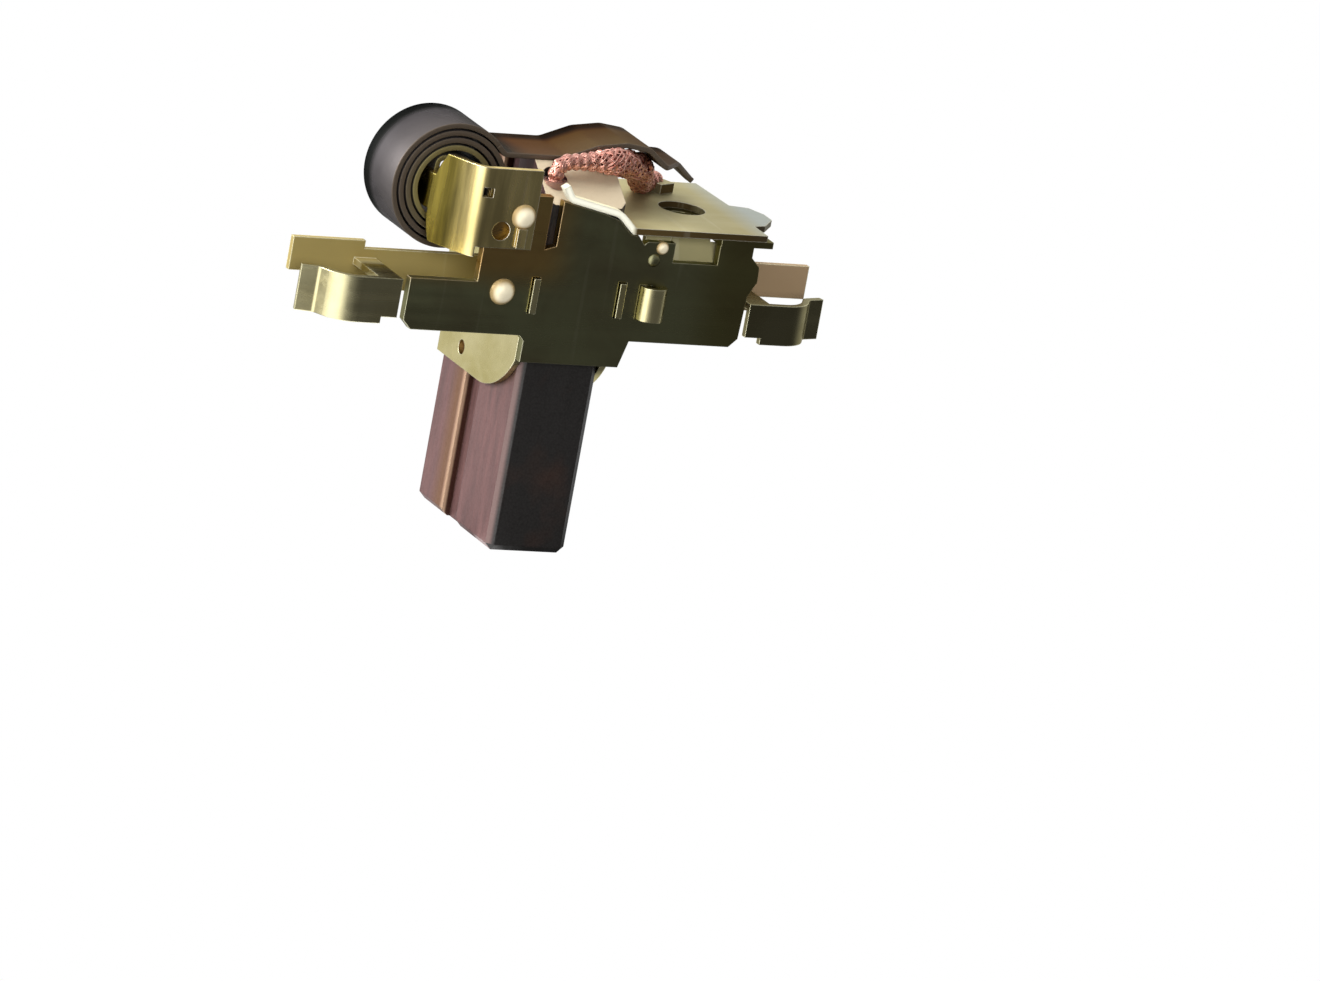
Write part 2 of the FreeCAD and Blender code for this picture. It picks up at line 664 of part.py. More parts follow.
for name, place in STAKES:
    hole = circle(place[0], place[1], stake)
    pocket(terminal, "XZ_Plane", -PLATE_BACK + PAST, hole, size("terminal_sheet") + 2 * PAST)
nodes.append(terminal)

# Domed rivets and the small stakes under the terminal


def dome_rivet(label, place, stack_back, stack_front, head, pin_radius, foot_radius, foot_height):
    """Rivet along Y: a spherical cap in front, a pin through the stack and a flat foot behind."""
    x, z = place[0], MOUTH + place[1]
    cap_height = size("dome_share") * head
    ball = (head * head + cap_height * cap_height) / (2 * cap_height)
    sphere = primitive("Sphere", label + "_ball", V(x, stack_front - cap_height + ball, z), Radius=ball)
    reach = head + PAST
    corner = V(x - reach, stack_front - reach, z - reach)
    keep = primitive("Box", label + "_keep", corner, Length=2 * reach, Width=reach, Height=2 * reach)
    cap = combine("MultiCommon", label + "_cap", [sphere, keep])
    length = stack_back - stack_front + PAST / 10
    start = V(x, stack_front - PAST / 20, z)
    pin = primitive("Cylinder", label + "_shank", start, BACKWARD, Radius=pin_radius, Height=length)
    rear = V(x, stack_back, z)
    foot = primitive("Cylinder", label + "_foot", rear, BACKWARD, Radius=foot_radius, Height=foot_height)
    return combine("MultiFuse", label, [cap, pin, foot])


head = size("rivet_head")
foot = shank + size("rivet_flare")
ear_stack = PLATE_BACK + size("ear_sheet")
tail = size("rivet_tail")
nodes.append(dome_rivet("ear_rivet", EAR_RIVET, ear_stack, PLATE_FRONT, head, shank, foot, tail))
nodes.append(dome_rivet("bracket_rivet", POST_RIVET, PLATE_BACK, WING_FRONT, 0.95 * head, shank, foot, tail))
for name, place in STAKES:
    small = dome_rivet(name, place, ear_stack, PLATE_FRONT, head / 2, stake, stake + 0.06, 0.2)
    nodes.append(small)

# Every object is sound before anything is written

doc.recompute()
for thing in doc.Objects:
    bad = [state for state in thing.State if state in ("Invalid", "Error")]
    if bad:
        raise ValueError("%s is %s" % (thing.Name, bad))
for node in nodes:
    shape = node.Shape
    if shape.isNull() or not shape.isValid() or len(shape.Solids) != 1:
        raise ValueError("%s is not one sound solid (%d)" % (node.Label, len(shape.Solids)))
    box = shape.BoundBox
    print("%-22s %8.2f mm3  x %.2f..%.2f  y %.2f..%.2f  z %.2f..%.2f" % (
        node.Label, shape.Volume, box.XMin, box.XMax, box.YMin, box.YMax, box.ZMin, box.ZMax))
    shape.exportStep(os.path.join("parts", node.Label + ".step"))
print("%d nodes" % len(nodes))
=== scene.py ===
# %% [markdown]
# # Carbon brush in its holder: looks for a fixed CAD frame
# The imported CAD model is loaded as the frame, which is never moved. Two pieces that flex, the spring
# strip and the braided lead, are made again here as fine meshes, because they have to bend between the
# holder and the brush. The other pieces keep their CAD shape and get a procedural material.

# %% Start
import math

import bpy
import numpy as np
from mathutils import Matrix, Vector


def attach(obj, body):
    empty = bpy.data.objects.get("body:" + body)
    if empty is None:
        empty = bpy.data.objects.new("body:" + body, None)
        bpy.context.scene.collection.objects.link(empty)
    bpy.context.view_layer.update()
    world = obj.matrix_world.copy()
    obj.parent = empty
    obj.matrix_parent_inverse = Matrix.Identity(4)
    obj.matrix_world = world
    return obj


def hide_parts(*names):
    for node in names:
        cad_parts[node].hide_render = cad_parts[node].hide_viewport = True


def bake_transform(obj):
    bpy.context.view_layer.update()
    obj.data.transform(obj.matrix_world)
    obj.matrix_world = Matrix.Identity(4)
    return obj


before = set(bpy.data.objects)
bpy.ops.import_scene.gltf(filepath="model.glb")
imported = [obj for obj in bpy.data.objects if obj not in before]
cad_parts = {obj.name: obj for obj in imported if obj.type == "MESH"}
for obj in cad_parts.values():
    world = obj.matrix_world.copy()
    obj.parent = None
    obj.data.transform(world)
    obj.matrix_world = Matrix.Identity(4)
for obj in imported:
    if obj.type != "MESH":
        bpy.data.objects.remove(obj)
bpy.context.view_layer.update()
MM = 0.001
print("nodes", len(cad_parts))

# %% [markdown]
# ## Small helpers
# A mesh is filled from arrays in one step. A grid wraps round its second direction, so that a closed
# section swept along a path is a tube; the two end sections are filled with one polygon each.

# %% Mesh helpers


def mesh_object(name, points, loops, counts, smooth=True):
    """Object from points in millimetres, a flat list of corners and the corners of each face."""
    mesh = bpy.data.meshes.new(name)
    mesh.vertices.add(len(points))
    mesh.vertices.foreach_set("co", (np.asarray(points, float) * MM).astype(np.float32).ravel())
    mesh.loops.add(len(loops))
    mesh.loops.foreach_set("vertex_index", np.asarray(loops, np.int32))
    mesh.polygons.add(len(counts))
    starts = np.concatenate([[0], np.cumsum(counts)[:-1]])
    mesh.polygons.foreach_set("loop_start", starts.astype(np.int32))
    mesh.polygons.foreach_set("use_smooth", np.full(len(counts), smooth))
    mesh.update(calc_edges=True)
    mesh.validate()
    made = bpy.data.objects.new(name, mesh)
    bpy.context.scene.collection.objects.link(made)
    return made


def tube_faces(rows, columns):
    """Corners of the quads of a closed tube of rows x columns points, and its two end polygons."""
    i, j = np.meshgrid(np.arange(rows - 1), np.arange(columns), indexing="ij")
    k = (j + 1) % columns
    quads = np.stack([i * columns + j, i * columns + k, (i + 1) * columns + k, (i + 1) * columns + j], -1)
    start = np.arange(columns)[::-1]
    end = (rows - 1) * columns + np.arange(columns)
    loops = np.concatenate([quads.reshape(-1), start, end])
    counts = np.concatenate([np.full(quads.shape[0] * quads.shape[1], 4), [columns, columns]])
    return loops, counts


def point_values(made, name, values):
    """Float attribute on the points, read by the materials."""
    layer = made.data.attributes.new(name, "FLOAT", "POINT")
    layer.data.foreach_set("value", np.asarray(values, np.float32).ravel())


# %% [markdown]
# ## Shader helpers
# Effects that several materials share are node groups. Each gives only a mask, a value or a colour, and
# the surface itself is a Principled shader in each material. Everything is procedural, in the pieces'
# own coordinates, so nothing depends on the camera.

# %% Node tools


def node(tree, kind, **values):
    """Node with constants set on its inputs by name, or by number for i0, i1 and so on."""
    made = tree.nodes.new(kind)
    for key, value in values.items():
        if key.startswith("i") and key[1:].isdigit():
            made.inputs[int(key[1:])].default_value = value
        elif hasattr(made, key):
            setattr(made, key, value)
        else:
            made.inputs[key.replace("_", " ")].default_value = value
    return made


def join(tree, source, socket, target, name):
    """Link between two sockets, each given by name or number."""
    tree.links.new(source.outputs[socket], target.inputs[name])


def put(tree, value, socket):
    """Gives an input its value: an output socket, a colour or vector of three numbers, or a number."""
    if isinstance(value, bpy.types.NodeSocket):
        tree.links.new(value, socket)
    elif isinstance(value, tuple):
        socket.default_value = (*value, 1)[: len(socket.default_value)]
    else:
        socket.default_value = value


def span(tree, value, low, high, least=0.0, most=1.0, smooth=False):
    """Value that runs from least to most while the given value runs from low to high."""
    kind = "SMOOTHSTEP" if smooth else "LINEAR"
    made = node(tree, "ShaderNodeMapRange", interpolation_type=kind, i1=low, i2=high, i3=least, i4=most)
    tree.links.new(value, made.inputs[0])
    return made.outputs[0]


def calc(tree, operation, *values):
    """Result of a Math node on sockets or numbers."""
    made = node(tree, "ShaderNodeMath", operation=operation)
    for value, socket in zip(values, made.inputs):
        put(tree, value, socket)
    return made.outputs[0]


def mix(tree, factor, under, top, blend="MIX"):
    """Colour under * (1 - factor) + top * factor; MULTIPLY takes under * top in place of top."""
    made = node(tree, "ShaderNodeMix", data_type="RGBA", blend_type=blend)
    put(tree, factor, made.inputs[0])
    put(tree, under, made.inputs[6])
    put(tree, top, made.inputs[7])
    return made.outputs[2]


def mix_value(tree, factor, under, top):
    """Number under * (1 - factor) + top * factor."""
    made = node(tree, "ShaderNodeMix", data_type="FLOAT")
    for value, socket in zip((factor, under, top), (made.inputs[0], made.inputs[2], made.inputs[3])):
        put(tree, value, socket)
    return made.outputs[0]


def vector(tree, operation, one, other=(0, 0, 0)):
    """Result of a Vector Math node: a vector, or the number that DOT_PRODUCT gives."""
    made = node(tree, "ShaderNodeVectorMath", operation=operation)
    put(tree, one, made.inputs[0])
    put(tree, other, made.inputs[1])
    return made.outputs["Value" if operation == "DOT_PRODUCT" else "Vector"]


def scaled(tree, colour, factor):
    """Colour * factor, both sockets."""
    made = node(tree, "ShaderNodeVectorMath", operation="SCALE")
    tree.links.new(colour, made.inputs[0])
    tree.links.new(factor, made.inputs["Scale"])
    return made.outputs[0]


def parts(tree, source="Object"):
    """X, Y and Z sockets of the piece's own coordinates in metres, or of its Normal."""
    kind = "ShaderNodeTexCoord" if source == "Object" else "ShaderNodeNewGeometry"
    split = node(tree, "ShaderNodeSeparateXYZ")
    join(tree, node(tree, kind), source, split, 0)
    return split.outputs


def noise(tree, scale, squash=(1.0, 1.0, 1.0), turn=(0.0, 0.0, 0.0), **values):
    """Noise value in the piece's own coordinates; a small squash makes streaks along that axis."""
    mapping = node(tree, "ShaderNodeMapping", Rotation=turn, Scale=squash)
    join(tree, node(tree, "ShaderNodeTexCoord"), "Object", mapping, "Vector")
    made = node(tree, "ShaderNodeTexNoise", **values)
    put(tree, scale, made.inputs["Scale"])
    join(tree, mapping, 0, made, "Vector")
    return made.outputs[0]


def ramp(tree, value, *stops):
    """Colour of a value between stops, each a position and a colour."""
    made = node(tree, "ShaderNodeValToRGB")
    elements = made.color_ramp.elements
    for element, (spot, colour) in zip(elements, (stops[0], stops[-1])):
        element.position = spot
        element.color = (*colour, 1)
    for spot, colour in stops[1:-1]:
        elements.new(spot).color = (*colour, 1)
    tree.links.new(value, made.inputs[0])
    return made.outputs[0]


def attribute(tree, name):
    """Value of a point attribute."""
    return node(tree, "ShaderNodeAttribute", attribute_name=name).outputs["Fac"]


def group(name, inputs, outputs):
    """Empty shader node group; inputs are (name, default) and a default of None makes a vector."""
    tree = bpy.data.node_groups.new(name, "ShaderNodeTree")
    for label, default in inputs:
        kind = "NodeSocketVector" if default is None else "NodeSocketFloat"
        made = tree.interface.new_socket(label, in_out="INPUT", socket_type=kind)
        if default is not None:
            made.default_value = default
    for label, kind in outputs:
        tree.interface.new_socket(label, in_out="OUTPUT", socket_type=kind)
    return tree, tree.nodes.new("NodeGroupInput"), tree.nodes.new("NodeGroupOutput")


def principled(name):
    """New material, its node tree and its Principled shader."""
    material = bpy.data.materials.new(name)
    material.use_nodes = True
    return material, material.node_tree, material.node_tree.nodes["Principled BSDF"]


BUMP_DEPTH = 0.02 * MM


def bumpy(tree, height, strength, normal=None):
    """Bump of a height value on the shader's Normal, on top of another normal if one is given."""
    made = node(tree, "ShaderNodeBump", Strength=strength, Distance=BUMP_DEPTH)
    tree.links.new(height, made.inputs["Height"])
    if normal:
        tree.links.new(normal, made.inputs["Normal"])
    join(tree, made, 0, tree.nodes["Principled BSDF"], "Normal")


# %% [markdown]
# Rolled sheet is never even: it has fine lines along the rolling direction, cloudy tarnish and a few
# handling scratches. Three noises at different scales make those, and the group gives their values.

# %% Sheet effect
sheet_tree, given, result = group(
    "rolled_sheet",
    [("Line Scale", 900.0), ("Cloud Scale", 160.0)],
    [("Lines", "NodeSocketFloat"), ("Clouds", "NodeSocketFloat"), ("Scratches", "NodeSocketFloat")],
)
tree = sheet_tree
lines = noise(tree, given.outputs["Line Scale"], (0.06, 1.0, 1.0), Detail=6.0, Roughness=0.65)
clouds = noise(tree, given.outputs["Cloud Scale"], Detail=4.0, Roughness=0.55, Distortion=0.6)
thin = noise(tree, 1400.0, (1.0, 0.05, 0.05), (0.3, 0.9, 0.5), Detail=2.0, Roughness=0.4)
put(tree, lines, result.inputs["Lines"])
put(tree, clouds, result.inputs["Clouds"])
put(tree, span(tree, thin, 0.66, 0.74), result.inputs["Scratches"])
print("group", sheet_tree.name)

# %% [markdown]
# Cut sheet edges are turned over slightly by the press tool. The Bevel node bends the shading normal
# there, so the edge catches a thin line of light without any change of the CAD mesh. How far the normal
# is bent also serves as a mask for a brighter edge colour, which is partly rubbed wear and partly a
# painted highlight.

# %% Edge effect
EDGE_RADIUS = 0.10 * MM
edge_tree, given, result = group(
    "turned_edge", [("Radius", EDGE_RADIUS)], [("Normal", "NodeSocketVector"), ("Rubbed", "NodeSocketFloat")]
)
tree = edge_tree
round_over = node(tree, "ShaderNodeBevel", samples=6)
join(tree, given, "Radius", round_over, "Radius")
join(tree, round_over, "Normal", result, "Normal")
plain = node(tree, "ShaderNodeNewGeometry")
agree = vector(tree, "DOT_PRODUCT", round_over.outputs["Normal"], plain.outputs["Normal"])
put(tree, span(tree, agree, 1.0, 0.86), result.inputs["Rubbed"])
print("group", edge_tree.name)

# %% [markdown]
# ## Metals
# One recipe serves all the sheet metal: a base colour, a darker tarnish in the clouds, a brighter tone on
# edges, partly rubbed wear and partly a painted highlight, and on scratches, and a roughness that follows
# the rolling lines.

# %% Metal recipe
SCRATCH_SHARE = 0.10
SMOOTHER, ROUGHER = 0.06, 0.12


def metal(name, colour, tarnish, rubbed_and_highlight, roughness, bump=0.05, solid=1.0):
    """Principled metal: colour = mix(mix(colour, tarnish, clouds), edge tone, max(edge, share * scratches));
    the edge tone is rubbed wear and a painted highlight.
    """
    material, tree, surface = principled(name)
    surface.inputs["Metallic"].default_value = solid
    surface.inputs["Specular Tint"].default_value = (*[0.4 + 0.5 * c for c in colour], 1)
    sheet = node(tree, "ShaderNodeGroup", node_tree=sheet_tree)
    edge = node(tree, "ShaderNodeGroup", node_tree=edge_tree)
    edge.name = "edge"
    patch = span(tree, sheet.outputs["Clouds"], 0.35, 0.75, smooth=True)
    dull = mix(tree, patch, colour, tarnish)
    dull.node.name = "dull"
    scratched = calc(tree, "MULTIPLY", sheet.outputs["Scratches"], SCRATCH_SHARE)
    wear_and_highlight = calc(tree, "MAXIMUM", edge.outputs["Rubbed"], scratched)
    put(tree, mix(tree, wear_and_highlight, dull, rubbed_and_highlight), surface.inputs["Base Color"])
    rough = span(tree, sheet.outputs["Lines"], 0.3, 0.7, roughness - SMOOTHER, roughness + ROUGHER)
    rough.node.name = "rough"
    put(tree, rough, surface.inputs["Roughness"])
    bumpy(tree, sheet.outputs["Lines"], bump, edge.outputs["Normal"])
    return material


def above_sheet(tree):
    """Colour of a metal's sheet and the input that it feeds, so that layers can go in between."""
    sheet_colour = tree.nodes["dull"].outputs[2]
    return sheet_colour, sheet_colour.links[0].to_socket


def tinted(material, factor, tint, shade=None):
    """Base Color = colour * mix(1, tint, factor) * shade, with sockets for the factor and the shade."""
    tree = material.node_tree
    base = tree.nodes["Principled BSDF"].inputs["Base Color"]
    colour = mix(tree, factor, base.links[0].from_socket, tint, "MULTIPLY")
    put(tree, scaled(tree, colour, shade) if shade else colour, base)


brass = metal("brass", (0.66, 0.60, 0.34), (0.50, 0.44, 0.20), (0.88, 0.84, 0.58), 0.24)
# The brasses below are tones of brass that stand in for light: the bracket's lighter tone is painted light
# for its bright fold, the front plate's dark tone and the left ear's darker tone are painted shade, and the
# right ear's lighter tone is painted light.
bracket_brass = metal("bracket_brass", (0.86, 0.70, 0.31), (0.76, 0.61, 0.26), (0.92, 0.84, 0.66), 0.22)
plate_brass = metal("plate_brass", (0.29, 0.295, 0.16), (0.22, 0.20, 0.11), (0.62, 0.60, 0.42), 0.30)
tin = metal("tin", (0.46, 0.415, 0.24), (0.38, 0.33, 0.17), (0.80, 0.77, 0.62), 0.50, bump=0.1)
rivet = metal("rivet", (1.0, 0.90, 0.66), (0.86, 0.74, 0.50), (0.95, 0.93, 0.80), 0.36, bump=0.03, solid=0.35)
left_ear = metal("left_ear_brass", (0.50, 0.46, 0.27), (0.40, 0.35, 0.18), (0.85, 0.81, 0.55), 0.22)
right_ear = metal("right_ear_brass", (0.72, 0.66, 0.38), (0.60, 0.53, 0.28), (0.85, 0.81, 0.55), 0.26)
print("metals", [m.name for m in (brass, bracket_brass, plate_brass, tin, rivet, left_ear, right_ear)])

# %% [markdown]
# The terminal's ends look different from its middle. The tongue, bent over the guide's front, is rounded
# and satin, with painted light on it and a painted highlight most on its edge. The flap in the window is
# satin too and darker as painted shade. The plate has painted light towards the tongue, is greyer at its
# far end and has painted shade on its front edge. All are masks from X, Z and the normal.

# %% Terminal ends
TONGUE_BEND = 0.34 * MM
FLAP_TOP = 24.5 * MM
tree = tin.node_tree
surface = tree.nodes["Principled BSDF"]
x, y, z = parts(tree)
facing = parts(tree, "Normal")
colour, before = above_sheet(tree)
on_tongue = span(tree, x, 3.8 * MM, 3.4 * MM)
on_flap = calc(tree, "LESS_THAN", z, FLAP_TOP)
satin = calc(tree, "MAXIMUM", on_tongue, on_flap)
put(tree, span(tree, on_tongue, 0.0, 1.0, EDGE_RADIUS, TONGUE_BEND), tree.nodes["edge"].inputs["Radius"])
put(tree, span(tree, satin, 0.0, 1.0, 0.8, 0.0), surface.inputs["Metallic"])
# Painted light: the plate is made lighter towards the tongue, where the arm and the lead shade it.
painted_light_near_tongue = span(tree, x, 10.5 * MM, 4.0 * MM, smooth=True)
colour = mix(tree, painted_light_near_tongue, colour, (1.75, 1.75, 1.70), "MULTIPLY")
far_end = span(tree, x, 12.8 * MM, 15.2 * MM)
colour = mix(tree, far_end, colour, (0.42, 0.45, 0.42))
# Painted shade: the faces turned to the front, except on the satin ends, are darkened.
front_edge = calc(tree, "MULTIPLY", span(tree, facing["Y"], -0.3, -0.7), calc(tree, "SUBTRACT", 1.0, satin))
colour = mix(tree, front_edge, colour, (0.24, 0.18, 0.12), "MULTIPLY")
# Painted shade: the flap in the window gets a darker tin colour.
colour = mix(tree, on_flap, colour, (0.30, 0.27, 0.14))
# Painted highlight: the tongue is paled, most where its normal leans away from straight up.
tongue_edge_highlight = calc(tree, "MULTIPLY", on_tongue, span(tree, facing["Z"], 0.7, 0.3, 0.35, 1.0))
put(tree, mix(tree, tongue_edge_highlight, colour, (1.0, 0.98, 0.82)), before)
print("ends on", tin.name)

# %% [markdown]
# Behind the gap for the housing the ears have a dull tan skin. It is partly non-metallic and rough, so it
# scatters the light that the polished hook mirrors. The step between the two is a mask on the depth.

# %% Dull rear ears
SKIN_START, SKIN_END = -3.6 * MM, -2.2 * MM
SKIN_ROUGHER = 0.30
SKIN_METAL = 0.35


def dull_behind(material, skin_colour, begin, end, hook_shade):
    """Skin that hides the metal behind the gap, and a painted shade on the hook that grows from begin to end
    in X, painted light where hook_shade is above 1.
    """
    tree = material.node_tree
    surface = tree.nodes["Principled BSDF"]
    place = parts(tree)
    colour, before = above_sheet(tree)
    behind = span(tree, place["Y"], SKIN_START, SKIN_END)
    shaded = scaled(tree, colour, span(tree, place["X"], begin, end, 1.0, hook_shade))
    put(tree, mix(tree, behind, shaded, skin_colour), before)
    rougher = calc(tree, "MULTIPLY_ADD", behind, SKIN_ROUGHER, tree.nodes["rough"].outputs[0])
    put(tree, rougher, surface.inputs["Roughness"])
    put(tree, span(tree, behind, 0.0, 1.0, 1.0, SKIN_METAL), surface.inputs["Metallic"])


# The left ear's hook end gets painted light and the right ear's hook painted shade.
dull_behind(left_ear, (0.36, 0.28, 0.10), -18.0 * MM, -19.0 * MM, 1.3)
dull_behind(right_ear, (0.38, 0.265, 0.155), 9.0 * MM, 12.0 * MM, 0.3)
print("skin on", left_ear.name, right_ear.name)

# %% [markdown]
# The bracket's oblique cheek has painted shade: it is darker and more yellow than the wing, more so away
# from the fold, and has upright streaks. The fold between them mirrors the bright glow. The mask is the X
# part of the surface normal, which is 0 on the wing and -0.9 on the cheek. A rivet's dome has painted
# shade round its rim, where the normal leans away from the front. The front plate is browner at its upper
# left and darker at its right end.

# %% Cheek and rims
tree = bracket_brass.node_tree
drawn = noise(tree, 900.0, (1.0, 1.0, 0.10), Detail=4.0)
put(tree, drawn, tree.nodes["rough"].inputs[0])
uneven = span(tree, drawn, 0.35, 0.65, 0.72, 1.22)
# Painted shade on the cheek, less near the fold.
cheek_shade = span(tree, parts(tree, "Normal")["X"], -0.70, -0.89, smooth=True)
shade_from_fold = span(tree, parts(tree)["Y"], -7.2 * MM, -4.8 * MM, 0.20, 1.0, smooth=True)
tinted(bracket_brass, calc(tree, "MULTIPLY", cheek_shade, shade_from_fold), (0.33, 0.32, 0.15), uneven)

tree = rivet.node_tree
# Painted shade round the dome's rim, where its normal turns away from the front.
rim_shade = span(tree, parts(tree, "Normal")["Y"], -0.93, -0.60, smooth=True)
tinted(rivet, rim_shade, (0.40, 0.32, 0.20))

tree = plate_brass.node_tree
place = parts(tree)
left = span(tree, place["X"], 0.0, -3.5 * MM, smooth=True)
upper = span(tree, place["Z"], 19.5 * MM, 22.0 * MM, smooth=True)
tinted(plate_brass, calc(tree, "MULTIPLY", left, upper), (1.60, 1.08, 0.70))
right_end = span(tree, place["X"], 8.0 * MM, 12.0 * MM, smooth=True)
tinted(plate_brass, right_end, (0.72, 0.66, 0.50))
print("tinted", bracket_brass.name, rivet.name, plate_brass.name)

# %% [markdown]
# ## Graphite
# The block is pressed from graphite and copper powder, so it is dark with a mauve cast where light rakes
# it. It has short streaks along the pressing direction and a metallic glint in its grains.
# Behind the guide groove it is browner, and a golden band next to the groove is a painted highlight. The
# groove's far wall has painted light on its outer part and painted shade inside. The sloped head is
# coppered and looks paler. The end faces are darker as painted shade, and the front-left chamfer has a
# lighter painted tone.

# %% Graphite material
GROOVE_SIDE = -2.5 * MM
GROOVE_WALL = 2.25 * MM
graphite, tree, surface = principled("graphite")
x, y = parts(tree)["X"], parts(tree)["Y"]
facing = parts(tree, "Normal")
streaks = noise(tree, 1500.0, (1.0, 1.0, 0.12), Detail=6.0, Roughness=0.7)
colour = ramp(tree, streaks, (0.3, (0.090, 0.043, 0.041)), (0.75, (0.175, 0.086, 0.081)))
grooved_side = calc(tree, "LESS_THAN", x, GROOVE_SIDE)
behind_groove = calc(tree, "MULTIPLY", calc(tree, "GREATER_THAN", y, GROOVE_WALL - 0.05 * MM), grooved_side)
browner_near_groove = calc(tree, "MULTIPLY", span(tree, y, 4.7 * MM, 3.2 * MM), behind_groove)
colour = mix(tree, browner_near_groove, colour, (0.138, 0.062, 0.028))
# Painted highlight: a golden band on the side face next to the groove.
golden_highlight = calc(tree, "MULTIPLY", span(tree, y, 2.9 * MM, 2.35 * MM, smooth=True), behind_groove)
colour = mix(tree, golden_highlight, colour, (0.40, 0.25, 0.16))
# Painted shade: the faces turned to the front and back get two dark tones.
endwise = calc(tree, "ABSOLUTE", facing["Y"])
smudged = span(tree, noise(tree, 260.0, Detail=3.0), 0.50, 0.70)
end_face_shade = mix(tree, smudged, (0.024, 0.022, 0.021), (0.042, 0.026, 0.021))
colour = mix(tree, calc(tree, "GREATER_THAN", endwise, 0.5), colour, end_face_shade)
# Painted light on the outer part of the groove's far wall, painted shade deeper inside.
wall_shade_inside = span(tree, x, -3.0 * MM, -2.78 * MM, smooth=True)
groove_wall_light_and_shade = mix(tree, wall_shade_inside, (0.62, 0.42, 0.28), (0.070, 0.026, 0.016))
colour = mix(tree, calc(tree, "COMPARE", y, GROOVE_WALL, 0.02 * MM), colour, groove_wall_light_and_shade)
# Painted light: the front-left chamfer gets a lighter tone than the end faces.
oblique = calc(tree, "COMPARE", endwise, 0.7, 0.1)
outer_half = span(tree, x, -2.72 * MM, -3.0 * MM, smooth=True)
colour = mix(tree, calc(tree, "MULTIPLY", oblique, outer_half), colour, (0.155, 0.100, 0.092))
colour = mix(tree, calc(tree, "GREATER_THAN", facing["Z"], 0.3), colour, (0.59, 0.49, 0.34))
put(tree, colour, surface.inputs["Base Color"])
grains = node(tree, "ShaderNodeTexVoronoi", Scale=6000.0)
join(tree, node(tree, "ShaderNodeTexCoord"), "Object", grains, "Vector")
put(tree, span(tree, grains.outputs[0], 0.0, 1.0, 0.25, 0.6), surface.inputs["Metallic"])
put(tree, span(tree, streaks, 0.3, 0.7, 0.42, 0.6), surface.inputs["Roughness"])
edge = node(tree, "ShaderNodeGroup", node_tree=edge_tree)
edge.inputs["Radius"].default_value = 0.12 * MM
bumpy(tree, streaks, 0.25, edge.outputs["Normal"])
print("material", graphite.name)

# %% [markdown]
# ## Spring strip
# A spiral spring is a flat strip rolled on itself. Its centre line is a chain of straight runs and
# tangent arcs: the waved arm, a bend down to the roll, a first sweep and seven half-turns with smaller
# and smaller radii, and the hook on the tongue. The section is a rounded rectangle carried along that
# line, and the arm's front edge runs back to a narrow tip.

# %% Spring path


def unit(rows):
    """Each row divided by its length."""
    return rows / np.linalg.norm(rows, axis=1)[:, None]


def run_along(line):
    """Distance of each point from the first one, along the line."""
    return np.concatenate([[0], np.cumsum(np.linalg.norm(np.diff(line, axis=0), axis=1))])


def straight_run(start, end, step):
    """Points after start up to end, about a step apart."""
    count = max(2, int(np.linalg.norm(end - start) / step))
    return start + (end - start) * np.linspace(0, 1, count + 1)[1:, None]


def rounded_line(points, radii, step):
    """Points along straight runs whose corners are arcs: cut-back = radius * tan(turn / 2)."""
    points = [np.array(point, float) for point in points]
    out = [points[0][None]]
    for before, corner, after, radius in zip(points, points[1:], points[2:], radii):
        enter = (corner - before) / np.linalg.norm(corner - before)
        leave = (after - corner) / np.linalg.norm(after - corner)
        turn = math.acos(float(np.clip(enter @ leave, -1, 1)))
        reach = radius * math.tan(turn / 2)
        inward = (leave - enter) / np.linalg.norm(leave - enter)
        centre = corner + inward * radius / math.cos(turn / 2)
        first = corner - enter * reach - centre
        angles = np.linspace(0, turn, max(4, int(radius * turn / step)))[:, None]
        arc = centre + first * np.cos(angles) + enter * radius * np.sin(angles)
        out += [straight_run(out[-1][-1], arc[0], step), arc[1:]]
    out.append(straight_run(out[-1][-1], points[-1], step))
    return np.concatenate(out)


STRIP = 0.4
WIDTH = 5.3
STRIP_STEP = 0.12
SEAT = 28.6 + STRIP / 2
ROLL = np.array([-9.35, 26.25])
ROLL_RADIUS = 4.5
PITCH = 0.55
INNER_DROP = 0.4
LEAVE = math.radians(45)
TONGUE_X = -11.2
TONGUE = 0.5
HOOK = 2.8
SAME_POINT = 1e-4
touch = ROLL + ROLL_RADIUS * np.array([math.cos(LEAVE), math.sin(LEAVE)])
arm = [(11.8, 26.55), (9.1, 28.45), (7.5, 28.5), (5.9, 29.8), (4.0, 30.05), (1.8, 29.75), (-0.6, SEAT)]
arm += [(touch[0] + (touch[1] - SEAT) * math.tan(LEAVE), SEAT), tuple(touch)]
lengths = [rounded_line(arm, [1.0, 1.0, 1.0, 1.2, 1.6, 1.6, 0.6], STRIP_STEP)]
centre, radius, angle, sweep = ROLL, ROLL_RADIUS, LEAVE, 1.5 * math.pi - LEAVE
for drop in [PITCH / 2] * 6 + [INNER_DROP, 0.0]:
    a = np.linspace(angle, angle + sweep, int(radius * sweep / STRIP_STEP))[1:]
    lengths.append(centre + radius * np.stack([np.cos(a), np.sin(a)], 1))
    angle, radius, sweep = angle + sweep, radius - drop, math.pi
    centre = lengths[-1][-1] - radius * np.array([math.cos(angle), math.sin(angle)])
inner = lengths[-1][-1]
hook_x = TONGUE_X + (TONGUE + STRIP) / 2
hook = [inner, (hook_x, inner[1]), (hook_x, inner[1] - HOOK)]
lengths.append(rounded_line(hook, [0.5], STRIP_STEP)[1:])
strip_line = np.concatenate(lengths)
